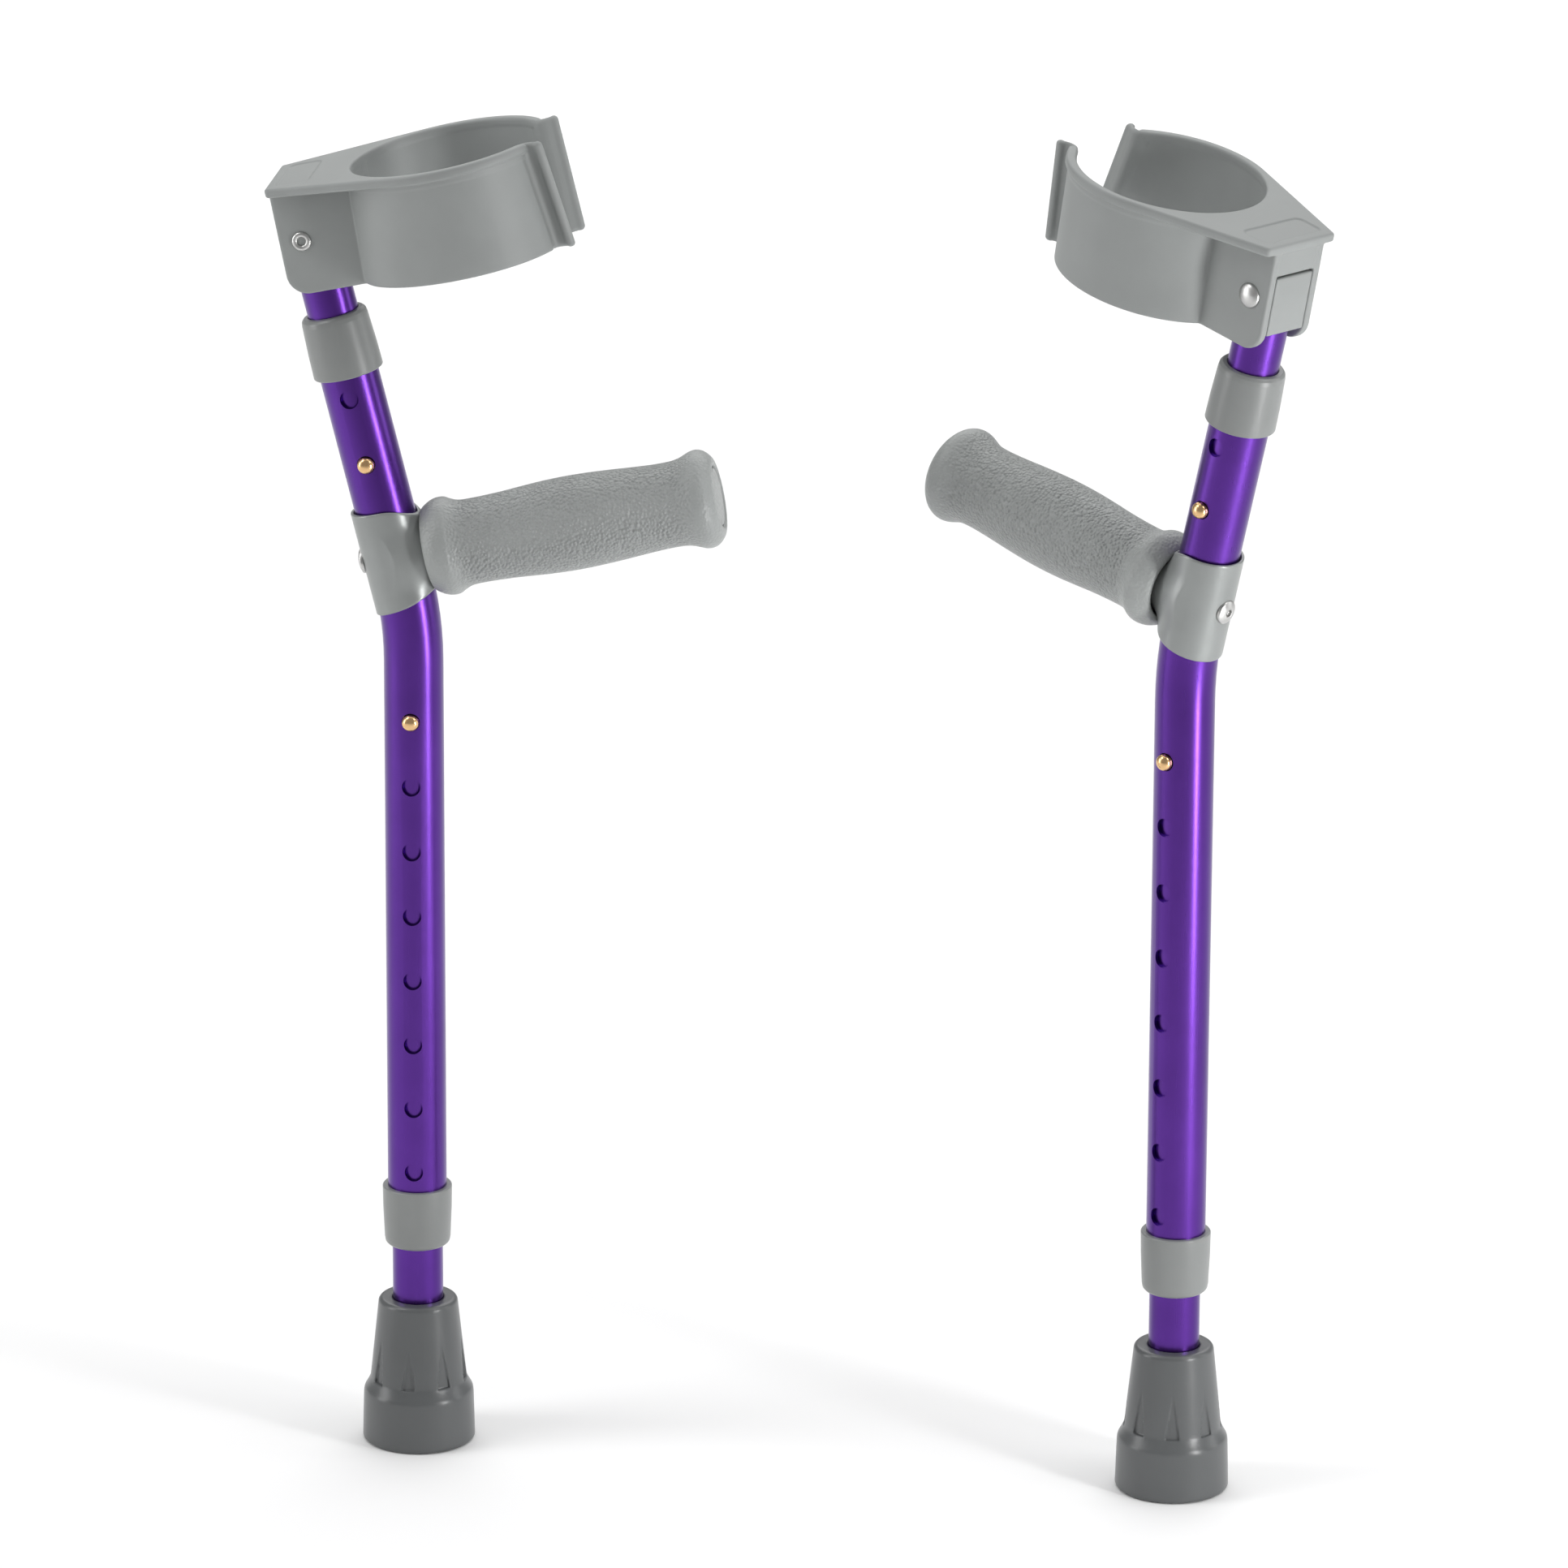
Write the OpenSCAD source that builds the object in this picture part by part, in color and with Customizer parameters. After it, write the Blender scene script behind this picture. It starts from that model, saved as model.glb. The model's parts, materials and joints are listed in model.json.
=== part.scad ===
// Pair of child-size forearm crutches, standing side by side. Millimetres, +Z up.
// The origin is the centre of the left tip's sole; +X is the way the left handle points.
// Both crutches are the same model, and the right one is turned about its own leg.

/* [Arrangement] */
// Right crutch: distance along X from the left one
right_x = 288; // [240:1:400]
// Right crutch: distance along Y from the left one
right_y = -23; // [-80:1:80]
// Right crutch: turn of its handle from +X, degrees
right_heading = 143.4; // [120:0.1:180]

/* [Tubes] */
// Outer diameter of the main tube (7/8 inch)
main_d = 22.2; // [22.2:0.1:23]
// Bore of the main tube
main_bore_d = 19.2; // [19.19:0.01:19.22]
// Outer diameter of the leg and forearm tubes (3/4 inch)
inner_d = 19.05; // [19.03:0.01:19.07]
// Wall of the leg and forearm tubes
inner_wall = 1.5; // [1.2:0.1:1.8]
// Height of the bend's corner above the sole
corner_z = 325; // [322:1:340]
// Lean of the upper tube behind the leg, degrees
lean = 13.9; // [10:0.1:18]
// Radius of the bend at the tube's centre line
bend_r = 130; // [110:5:150]
// Lower end of the main tube above the sole
main_end_z = 84; // [82:1:90]
// Upper end of the main tube, along the upper tube from the corner
main_end_s = 117.5; // [116:0.5:119]

/* [Adjustment holes] */
// Distance between holes (1 inch)
hole_pitch = 25.4; // [25.4:0.1:25.4]
// Diameter of the holes
hole_d = 6.9; // [6.8:0.1:7.2]
// Height of the topmost leg hole, where the leg is at its shortest
leg_hole_z = 287.7; // [286:0.1:290]
// Number of leg holes
leg_holes = 8; // [4:1:8]
// Lower forearm hole, along the upper tube from the corner
forearm_hole_s = 63.6; // [62:0.1:66]
// Number of forearm holes
forearm_holes = 2; // [2:1:2]
// Turn of the forearm holes and the cuff about the upper tube, degrees
forearm_turn = -3; // [-5:0.5:5]

/* [Snap buttons] */
// Diameter of a snap button
button_d = 6.3; // [6:0.1:6.3]
// How far a button stands out of the main tube
button_out = 3; // [2:0.1:3.2]

/* [Rubber tip] */
// Diameter of the sole
tip_d = 42.8; // [40:0.2:46]
// Diameter at the top of the tip
tip_top_d = 29.6; // [28:0.2:32]
// Height of the wide band round the sole
tip_band_h = 19.3; // [17:0.1:20]
// Height of the whole tip
tip_h = 56.5; // [54:0.5:60]
// Number of flutes round the cone
tip_flutes = 8; // [6:1:10]

/* [Collars] */
// Length of a collar
collar_l = 23.4; // [22:0.1:25]
// Outer diameter at a collar's open end
collar_open_d = 26.2; // [25.8:0.1:27]
// Outer diameter at a collar's closed end
collar_closed_d = 24.8; // [24.4:0.1:25.6]

/* [Handle] */
// Where the handle's axis meets the upper tube, from the corner
handle_s = 25; // [24:0.5:27]
// Angle between the handle and the square across the upper tube, degrees
handle_droop = 1.6; // [0:0.1:3]
// Inner end of the grip from the tube's axis
grip_start = 12; // [11:0.5:12]
// Outer end of the grip from the tube's axis
grip_end = 122.8; // [121.2:0.2:130]
// Diameter of the grip's two flanges
grip_flange_d = 37; // [36:0.2:38]
// Diameter of the grip's two necks
grip_neck_d = 31.7; // [31:0.1:32]
// Diameter of the grip's swell
grip_swell_d = 35; // [34:0.1:36]
// Outer diameter of the bracket's sleeve
sleeve_d = 25.4; // [25:0.1:26.4]
// Length of the bracket's sleeve
sleeve_l = 40.4; // [38:0.2:41]

/* [Cuff] */
// Rivet, along the upper tube from the corner
rivet_s = 151.7; // [150:0.1:156]
// Rivet, behind the upper tube's axis
rivet_back = 1.5; // [0:0.1:2]
// Forward nod of the cuff on its rivet at rest, degrees
cuff_nod = 1.4; // [0:0.1:2]
// Centre of the cuff's ring in front of the rivet
ring_x = 57; // [56:0.5:60]
// Inner radius of the cuff's ring
ring_r = 35; // [33:0.5:37]
// Wall of the ring
ring_wall = 2.4; // [2:0.1:3]
// Cuff height below the rivet
cuff_drop = 20; // [19:0.5:21]
// Cuff height above the rivet
cuff_rise = 22.4; // [22:0.1:24]
// Thickness of the flange on top
flange_t = 3.5; // [3:0.1:4]
// Half of the gap between the lips at the top
mouth_top = 16; // [14:0.5:18]
// Half of the gap between the lips at the bottom
mouth_bottom = 8.5; // [7:0.5:12]

/* [Hidden] */
$fn = 64;

purple = [0.33, 0.14, 0.55];
plastic_grey = [0.56, 0.58, 0.58];
grip_grey = [0.6, 0.61, 0.61];
paint_grey = [0.6, 0.61, 0.61];
rubber_grey = [0.34, 0.36, 0.36];
brass = [0.76, 0.6, 0.38];
bright_steel = [0.78, 0.78, 0.78];
spring_steel = [0.5, 0.5, 0.52];

main_r = main_d / 2;
bore_r = main_bore_d / 2;
inner_r = inner_d / 2;
inner_bore_r = inner_r - inner_wall;
bend_leg = bend_r * tan(lean / 2);  // straight distance from the corner to either end of the bend
eps = 0.01;
lap = 0.5;                          // how far the upper stretch runs into the bend
bend_swell = 0.05;                 // the bend is this much thicker than the upper stretch

leg_top_z = leg_hole_z + 12.3;      // top of the leg tube
tip_floor = 5;                      // rubber under the washer
washer_t = 1.6;
leg_foot_z = tip_floor + washer_t;  // lower end of the leg tube
forearm_foot_s = forearm_hole_s - 12.6;
block_drop = 13.4;                  // cuff block below the rivet
block_rise = 9;                     // cuff block above the rivet
block_half = 9.6;                   // half width of the cuff block
forearm_top_s = rivet_s - block_drop;
spigot_l = 19;

hole_r = hole_d / 2;
button_r = button_d / 2;
button_top = main_r + button_out;   // crown of a button from the tube's axis
strip_t = 0.6;                      // thickness of the spring strip
strip_w = 7;
strip_y = 5.6;                      // outer face of the spring strip at the button
rim_t = 0.8;                        // rim under the button that stops it in the hole
rim_r = 4.1;
strip_top = 5;                      // the strip's straight ends, above and below the button
spring_l = 32;                      // from the button down to the spring's fold
fold_r = 3.5;

bolt_r = 2.5;
bolt_head_r = 4.6;
bolt_head_h = 2.4;
bolt_seat = 12.2;                   // flat under the bolt's head, behind the tube's axis
bolt_end = 40;                      // tip of the bolt along the handle
boss_r = 10.2;
boss_end = 18;                      // where the bracket's round stub meets the core
core_bore_r = 8;
core_spigot_l = 8;
core_end = 118;
nut_start = 28;
nut_l = 14;
cap_r = 11;
cap_t = 2.3;

rivet_r = 2.4;
rivet_play = 0.05;                  // running clearance in the cuff block
cheek_in = 9.9;                     // inner face of a cheek from the middle
cheek_out = 13.3;                   // outer face of a cheek from the middle
flange_r = ring_r + 3.8;
flange_half = 18;                   // half width of the flange at the rear
rear_x = -8.6;                      // rear edge of the flange from the rivet
lip_top_x = 39.9;                   // front of a lip at the top from the ring's centre
lip_low_x = 42.5;                   // front of a lip at the bottom from the ring's centre
ring_low_r = 37;                    // outer radius of the ring at the bottom

// ---- placing ----

// Puts a crutch where the left one stands.
module at_left() {
    children();
}

// Puts a crutch where the right one stands.
module at_right() {
    translate([right_x, right_y, 0]) rotate([0, 0, right_heading]) children();
}

// Upper tube: Z runs up the tube from the bend's corner, X points forward.
module on_upper() {
    translate([0, 0, corner_z]) rotate([0, -lean, 0]) children();
}

// Forearm tube and cuff: as the upper tube, turned about it.
module on_forearm() {
    on_upper() rotate([0, 0, forearm_turn]) children();
}

// Cuff block and rivet: X forward and Z up the tube, from the rivet's centre.
module on_rivet() {
    on_forearm() translate([-rivet_back, 0, rivet_s]) children();
}

// Cuff: as the rivet, nodded forwards about it.
module on_cuff() {
    on_rivet() rotate([0, cuff_nod, 0]) children();
}

// Handle: Z runs out along the grip from the upper tube's axis.
module on_handle() {
    on_upper() translate([0, 0, handle_s]) rotate([0, 90 + handle_droop, 0]) children();
}

// ---- tubes ----

// Solid bar of radius r along the main tube's bent path, with each end past the tube by extra.
module bent_bar(r, extra = 0) {
    low_z = main_end_z - extra;
    translate([0, 0, low_z]) cylinder(r = r, h = corner_z - bend_leg - low_z);
    translate([-bend_r, 0, corner_z - bend_leg])
        rotate([90, 0, 0])
            rotate_extrude(angle = lean) translate([bend_r, 0]) circle(r = r);
    on_upper() translate([0, 0, bend_leg - lap])
        cylinder(r = r - bend_swell, h = main_end_s + extra - bend_leg + lap);
}

// Bar along Y through both walls of a tube.
module cross_bar(r, half = 30) {
    rotate([90, 0, 0]) cylinder(r = r, h = 2 * half, center = true);
}

module main_tube() {
    color(purple) difference() {
        bent_bar(main_r);
        bent_bar(bore_r, 1);
        for (i = [0 : leg_holes - 1])
            translate([0, 0, leg_hole_z - i * hole_pitch]) cross_bar(hole_r);
        on_forearm()
            for (i = [0 : forearm_holes - 1])
                translate([0, 0, forearm_hole_s + i * hole_pitch]) cross_bar(hole_r);
        on_handle() cylinder(r = bolt_r, h = 60, center = true);
    }
}

// Straight inner tube from z = low to z = high with one pair of button holes.
module inner_tube(low, high, hole) {
    color(purple) difference() {
        translate([0, 0, low]) cylinder(r = inner_r, h = high - low);
        translate([0, 0, low - 1]) cylinder(r = inner_bore_r, h = high - low + 2);
        translate([0, 0, hole]) cross_bar(hole_r);
    }
}

module leg_tube() {
    inner_tube(leg_foot_z, leg_top_z, leg_hole_z);
}

module forearm_tube() {
    on_forearm() inner_tube(forearm_foot_s, forearm_top_s, forearm_hole_s);
}

// ---- collars ----

// Sleeve with its open end at z = 0 and its closed end up; the main tube stops at z = stop.
module collar(stop) {
    open_r = collar_open_d / 2;
    closed_r = collar_closed_d / 2;
    round_r = 2;
    color(plastic_grey) rotate_extrude() difference() {
        union() {
            polygon([
                [0, 0], [open_r - 0.4, 0], [open_r, 0.4],
                [closed_r, collar_l - round_r], [0, collar_l - round_r]
            ]);
            square([closed_r - round_r, collar_l]);
            translate([closed_r - round_r, collar_l - round_r]) circle(r = round_r);
        }
        translate([-eps, -1]) square([main_r + eps, stop + 1]);
        translate([-eps, -1]) square([bore_r + eps, collar_l + 2]);
        translate([-50, -1]) square([50, collar_l + 2]);
    }
}

module leg_collar() {
    lip = 5.6;
    translate([0, 0, main_end_z + collar_l - lip]) rotate([180, 0, 0]) collar(collar_l - lip);
}

module forearm_collar() {
    lip = 3.3;
    on_upper() translate([0, 0, main_end_s + lip - collar_l]) collar(collar_l - lip);
}

// ---- rubber tip ----

module foot_tip() {
    r0 = tip_d / 2;
    r1 = tip_top_d / 2;
    neck_r = 18.3;
    neck_z = tip_band_h + 5;
    round_r = 1.5;
    flute_l = 16.5;
    flute_w = 4.6;
    flute_depth = 1.5;
    flute_turn = 39;     // first flute from +X
    color(rubber_grey) difference() {
        rotate_extrude() {
            polygon([
                [0, 0], [r0 - 1, 0], [r0, 1], [r0 - 0.6, tip_band_h], [r0 - 1.2, tip_band_h + 1.4],
                [neck_r, neck_z], [r1, tip_h - round_r], [0, tip_h - round_r]
            ]);
            square([r1 - round_r, tip_h]);
            translate([r1 - round_r, tip_h - round_r]) circle(r = round_r);
        }
        translate([0, 0, tip_floor]) cylinder(r = inner_r, h = tip_h);
        for (i = [0 : tip_flutes - 1])
            rotate([0, 0, flute_turn + i * 360 / tip_flutes])
                translate([neck_r - flute_depth, 0, neck_z])
                    rotate([90, 0, 90])
                        linear_extrude(height = 6)
                            polygon([
                                [-flute_w / 2, -1], [flute_w / 2, -1], [0.3, flute_l], [-0.3, flute_l]
                            ]);
    }
}

module foot_washer() {
    color(bright_steel) translate([0, 0, tip_floor]) difference() {
        cylinder(r = inner_r, h = washer_t);
        translate([0, 0, -1]) cylinder(r = 3, h = washer_t + 2);
    }
}

// ---- snap buttons and their springs ----

// One face of the spring strip in the Y-Z plane, inset from the outer face, from leg to leg.
function strip_face(inset) = [
        [strip_y - inset, strip_top], [strip_y - inset, -strip_top],
        for (a = [0 : -15 : -180]) [(fold_r - inset) * cos(a), (fold_r - inset) * sin(a) - spring_l],
        [inset - strip_y, -strip_top], [inset - strip_y, strip_top]
    ];

// Folded spring strip with its fold down, level with the buttons at z = 0.
module snap_spring() {
    outer = strip_face(0);
    inner = strip_face(strip_t);
    last = len(inner) - 1;
    color(spring_steel) rotate([90, 0, 90]) linear_extrude(height = strip_w, center = true)
        polygon([for (p = outer) p, for (i = [last : -1 : 0]) inner[i]]);
}

// Domed button that points along +Y.
module snap_button() {
    dome_h = 2;
    dome_r = (button_r * button_r + dome_h * dome_h) / (2 * dome_h);
    color(brass) rotate([-90, 0, 0]) {
        translate([0, 0, strip_y]) cylinder(r = rim_r, h = rim_t);
        translate([0, 0, strip_y]) cylinder(r = button_r, h = button_top - dome_h - strip_y);
        intersection() {
            translate([0, 0, button_top - dome_r]) sphere(r = dome_r);
            translate([0, 0, button_top - dome_h - 0.2]) cylinder(r = button_r, h = dome_h + 1);
        }
    }
}

module leg_spring() {
    translate([0, 0, leg_hole_z]) snap_spring();
}

module leg_button(side) {
    translate([0, 0, leg_hole_z]) rotate([0, 0, side]) snap_button();
}

module forearm_spring() {
    on_forearm() translate([0, 0, forearm_hole_s]) rotate([0, 180, 0]) snap_spring();
}

module forearm_button(side) {
    on_forearm() translate([0, 0, forearm_hole_s]) rotate([0, 0, side]) snap_button();
}

// ---- handle ----

// Metal sleeve round the main tube with a round stub under the grip.
module handle_bracket() {
    sleeve_r = sleeve_d / 2;
    front_x = sleeve_r + 2;
    dip_mid = 1.6;       // how far the top edge has dipped at mid_x
    dip_end = 7.2;       // and at front_x
    rise_mid = 2.7;      // how far the lower edge has risen at mid_x
    rise_end = 9.5;      // and at front_x
    mid_x = 4;
    flare_r = 11;        // the stub's root, just inside the sleeve's sides at flare_x
    flare_x = 6;
    color(paint_grey) difference() {
        union() {
            on_upper() translate([0, 0, handle_s - sleeve_l / 2]) difference() {
                cylinder(r = sleeve_r, h = sleeve_l);
                rotate([90, 0, 0]) linear_extrude(height = 40, center = true) {
                    polygon([
                        [-2, sleeve_l + 1], [-2, sleeve_l], [mid_x, sleeve_l - dip_mid],
                        [front_x, sleeve_l - dip_end], [front_x, sleeve_l + 1]
                    ]);
                    polygon([
                        [-11, -1], [-11, 0], [mid_x, rise_mid], [front_x, rise_end], [front_x, -1]
                    ]);
                }
            }
            on_handle() {
                cylinder(r = boss_r, h = boss_end);
                translate([0, 0, flare_x])
                    cylinder(r1 = flare_r, r2 = boss_r, h = front_x - flare_x);
                translate([0, 0, boss_end - eps]) cylinder(r = core_bore_r, h = core_spigot_l + eps);
            }
        }
        bent_bar(main_r, 1);
        on_handle() {
            cylinder(r = bolt_r, h = 60, center = true);
            translate([0, 0, -bolt_seat - 10]) cylinder(r = bolt_head_r + 0.2, h = 10);
        }
    }
}

module handle_core() {
    color(bright_steel) on_handle() translate([0, 0, boss_end]) difference() {
        cylinder(r = inner_r, h = core_end - boss_end);
        translate([0, 0, -1]) cylinder(r = core_bore_r, h = core_end - boss_end + 2);
    }
}

module handle_nut() {
    color(bright_steel) on_handle() translate([0, 0, nut_start]) difference() {
        cylinder(r = core_bore_r, h = nut_l);
        translate([0, 0, -1]) cylinder(r = bolt_r, h = nut_l + 2);
    }
}

// Button-head screw from behind the tube, with a hexagon socket.
module handle_bolt() {
    crown_r = (bolt_head_r * bolt_head_r + bolt_head_h * bolt_head_h) / (2 * bolt_head_h);
    socket_r = 1.75;
    color(bright_steel) on_handle() difference() {
        union() {
            translate([0, 0, -bolt_seat]) cylinder(r = bolt_r, h = bolt_seat + bolt_end);
            intersection() {
                translate([0, 0, -bolt_seat - bolt_head_h + crown_r]) sphere(r = crown_r);
                translate([0, 0, -bolt_seat - bolt_head_h - 1])
                    cylinder(r = bolt_head_r, h = bolt_head_h + 1);
            }
        }
        translate([0, 0, -bolt_seat - bolt_head_h - 1]) cylinder(r = socket_r, h = 2.6, $fn = 6);
    }
}

// Half outline of the grip: distance along the handle and radius.
function grip_outline() = let (
        f = grip_flange_d / 2,
        n = grip_neck_d / 2,
        s = grip_swell_d / 2,
        a = grip_start,
        b = grip_end,
        mid = (a + b) / 2
    ) [
        [a, 13.5], [a + 0.9, 15.4], [a + 2.6, 16.7], [a + 4.6, 18], [a + 7, f], [a + 9.4, f - 0.5],
        [a + 11.8, f - 1.9], [a + 14, n + 0.4], [a + 17, n], [a + 23, n + 0.1], [a + 33, n + 0.6],
        [mid - 12, s - 0.4], [mid, s], [mid + 12, s - 0.4], [b - 33, n + 0.8], [b - 24, n + 0.2],
        [b - 18, n], [b - 14.5, n + 0.3], [b - 11.8, n + 1], [b - 9, f - 0.7], [b - 6.6, f],
        [b - 4, f - 0.5], [b - 2, f - 1.9], [b - 0.6, f - 3.8], [b, f - 5.5]
    ];

module hand_grip() {
    recess_r = 12.6;
    recess_end = 17;
    color(grip_grey) difference() {
        on_handle() difference() {
            rotate_extrude() polygon([
                [0, grip_start], for (p = grip_outline()) [p[1], p[0]], [0, grip_end]
            ]);
            cylinder(r = recess_r, h = recess_end);
            cylinder(r = boss_r, h = boss_end);
            cylinder(r = inner_r, h = core_end);
            cylinder(r = core_bore_r, h = grip_end);
            translate([0, 0, grip_end - cap_t]) cylinder(r = cap_r + 0.15, h = cap_t + 1);
        }
        on_upper() cylinder(r = sleeve_d / 2 + 0.3, h = handle_s + sleeve_l);
    }
}

module grip_end_cap() {
    stem_start = core_end - 8;
    color(grip_grey) on_handle() {
        translate([0, 0, grip_end - cap_t]) cylinder(r = cap_r, h = cap_t);
        translate([0, 0, stem_start]) cylinder(r = core_bore_r, h = grip_end - cap_t - stem_start + eps);
    }
}

// ---- cuff ----

// Insert between the cuff's cheeks, with a spigot down the forearm tube.
module cuff_block() {
    front_x = 9;
    rear = -8.6;
    color(plastic_grey) on_rivet() difference() {
        union() {
            rotate([90, 0, 0])
                linear_extrude(height = 2 * block_half, center = true)
                    polygon([
                        [rear + 0.6, block_rise], [front_x, block_rise], [front_x, -block_drop],
                        [rear - 0.4, -block_drop]
                    ]);
            translate([rivet_back, 0, -block_drop - spigot_l])
                cylinder(r = inner_bore_r, h = spigot_l + 1);
        }
        cross_bar(rivet_r + rivet_play);
    }
}

// Outline of the flange: a ring with two straight sides that run back to the rear corners.
module flange_outline() {
    reach = norm([ring_x - rear_x, flange_half]);
    touch = 180 - atan2(flange_half, ring_x - rear_x) - acos(flange_r / reach);
    steps = 48;
    polygon([
        [rear_x, -flange_half], [rear_x, flange_half],
        for (i = [0 : steps])
            let (a = touch * (1 - 2 * i / steps)) [ring_x + flange_r * cos(a), flange_r * sin(a)]
    ]);
}

// Solid cone inside the ring's outer face by inset, from z = low to z = high.
module ring_cone(low, high, inset) {
    slope = (ring_r + ring_wall - ring_low_r) / (cuff_rise + cuff_drop);
    low_r = ring_low_r + slope * (low + cuff_drop) - inset;
    translate([ring_x, 0, low]) cylinder(r1 = low_r, r2 = low_r + slope * (high - low), h = high - low);
}

// Space between the lips, from half-width mouth_top to half-width mouth_bottom.
module mouth_space() {
    splay = (mouth_top - mouth_bottom) / (cuff_rise + cuff_drop);
    top = cuff_rise + 1;
    low = -cuff_drop - 1;
    translate([ring_x, 0, 0]) rotate([90, 0, 90]) linear_extrude(height = 60)
        polygon([
            [-mouth_bottom + splay, low], [mouth_bottom - splay, low],
            [mouth_top + splay, top], [-mouth_top - splay, top]
        ]);
}

// Out-turned lip along one end of the ring.
module lip() {
    lip_t = 2.6;
    top_root = ring_x + 31.4;
    low_root = ring_x + 33.8;
    intersection() {
        rotate([90, 0, 90]) linear_extrude(height = 120)
            polygon([
                [mouth_bottom, -cuff_drop], [mouth_bottom + lip_t, -cuff_drop],
                [mouth_top + lip_t, cuff_rise], [mouth_top, cuff_rise]
            ]);
        rotate([90, 0, 0]) linear_extrude(height = 80, center = true)
            polygon([
                [top_root, cuff_rise], [ring_x + lip_top_x, cuff_rise],
                [ring_x + lip_low_x, -cuff_drop], [low_root, -cuff_drop]
            ]);
    }
}

// Side plate beside the cuff block, with a round lower rear corner.
module cheek() {
    corner_r = 8;
    corner = [rear_x + corner_r - 0.4, corner_r - cuff_drop];
    seam_x = ring_x - 33;
    top = cuff_rise - flange_t / 2;
    rotate([90, 0, 0]) translate([0, 0, -cheek_out]) linear_extrude(height = cheek_out - cheek_in)
        polygon([
            [rear_x + 0.4, top], [seam_x, top], [seam_x, -cuff_drop],
            for (a = [270 : -7.5 : 180]) corner + corner_r * [cos(a), sin(a)]
        ]);
}

module cuff() {
    rear_wall_low = block_rise + 0.9;
    rear_wall_t = 3;
    flange_z = cuff_rise - flange_t;
    into_cheek = 1;
    color(plastic_grey) on_cuff() difference() {
        union() {
            difference() {
                union() {
                    translate([0, 0, flange_z]) linear_extrude(height = flange_t) flange_outline();
                    ring_cone(-cuff_drop, cuff_rise - flange_t / 2, 0);
                    cheek();
                    mirror([0, 1, 0]) cheek();
                    translate([rear_x + 0.4, -cheek_in - into_cheek, rear_wall_low])
                        cube([rear_wall_t, 2 * (cheek_in + into_cheek), flange_z - rear_wall_low + 1]);
                }
                ring_cone(-cuff_drop - 1, cuff_rise + 1, ring_wall);
                mouth_space();
            }
            lip();
            mirror([0, 1, 0]) lip();
        }
        cross_bar(rivet_r);
    }
}

// Semi-tubular rivet: a domed head on +Y and a rolled hollow end on -Y.
module cuff_rivet() {
    head_r = 4.7;
    head_h = 2;
    crown_r = (head_r * head_r + head_h * head_h) / (2 * head_h);
    roll_r = 3.7;
    roll_h = 0.9;
    color(bright_steel) on_rivet() rotate([-90, 0, 0]) difference() {
        union() {
            translate([0, 0, -cheek_out - roll_h]) cylinder(r = rivet_r, h = 2 * cheek_out + roll_h);
            translate([0, 0, -cheek_out - roll_h]) cylinder(r = roll_r, h = roll_h);
            intersection() {
                translate([0, 0, cheek_out + head_h - crown_r]) sphere(r = crown_r);
                translate([0, 0, cheek_out]) cylinder(r = head_r, h = head_h + 1);
            }
        }
        translate([0, 0, -cheek_out - roll_h - 1]) cylinder(r = 1.6, h = 8);
    }
}

// ---- nodes ----

at_left() main_tube();  // left_main_tube
at_left() leg_collar();  // left_leg_collar
at_left() forearm_collar();  // left_forearm_collar
at_left() handle_bracket();  // left_handle_bracket
at_left() handle_core();  // left_handle_core
at_left() handle_nut();  // left_handle_nut
at_left() handle_bolt();  // left_handle_bolt
at_left() hand_grip();  // left_hand_grip
at_left() grip_end_cap();  // left_grip_end_cap
at_left() leg_tube();  // left_leg_tube
at_left() foot_tip();  // left_foot_tip
at_left() foot_washer();  // left_foot_washer
at_left() leg_spring();  // left_leg_spring
at_left() leg_button(180);  // left_leg_button_1
at_left() leg_button(0);  // left_leg_button_2
at_left() forearm_tube();  // left_forearm_tube
at_left() cuff_block();  // left_cuff_block
at_left() forearm_spring();  // left_forearm_spring
at_left() forearm_button(180);  // left_forearm_button_1
at_left() forearm_button(0);  // left_forearm_button_2
at_left() cuff();  // left_cuff
at_left() cuff_rivet();  // left_cuff_rivet
at_right() main_tube();  // right_main_tube
at_right() leg_collar();  // right_leg_collar
at_right() forearm_collar();  // right_forearm_collar
at_right() handle_bracket();  // right_handle_bracket
at_right() handle_core();  // right_handle_core
at_right() handle_nut();  // right_handle_nut
at_right() handle_bolt();  // right_handle_bolt
at_right() hand_grip();  // right_hand_grip
at_right() grip_end_cap();  // right_grip_end_cap
at_right() leg_tube();  // right_leg_tube
at_right() foot_tip();  // right_foot_tip
at_right() foot_washer();  // right_foot_washer
at_right() leg_spring();  // right_leg_spring
at_right() leg_button(180);  // right_leg_button_1
at_right() leg_button(0);  // right_leg_button_2
at_right() forearm_tube();  // right_forearm_tube
at_right() cuff_block();  // right_cuff_block
at_right() forearm_spring();  // right_forearm_spring
at_right() forearm_button(180);  // right_forearm_button_1
at_right() forearm_button(0);  // right_forearm_button_2
at_right() cuff();  // right_cuff
at_right() cuff_rivet();  // right_cuff_rivet
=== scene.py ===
"""Visual model of a pair of child-size forearm crutches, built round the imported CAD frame.

Lengths inside the shape functions are millimetres; meshes are written in metres.
Each shape is made once in its own local frame and placed on both crutches.
"""

import json
import math

import bpy
import numpy as np
from mathutils import Matrix, Vector


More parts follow.
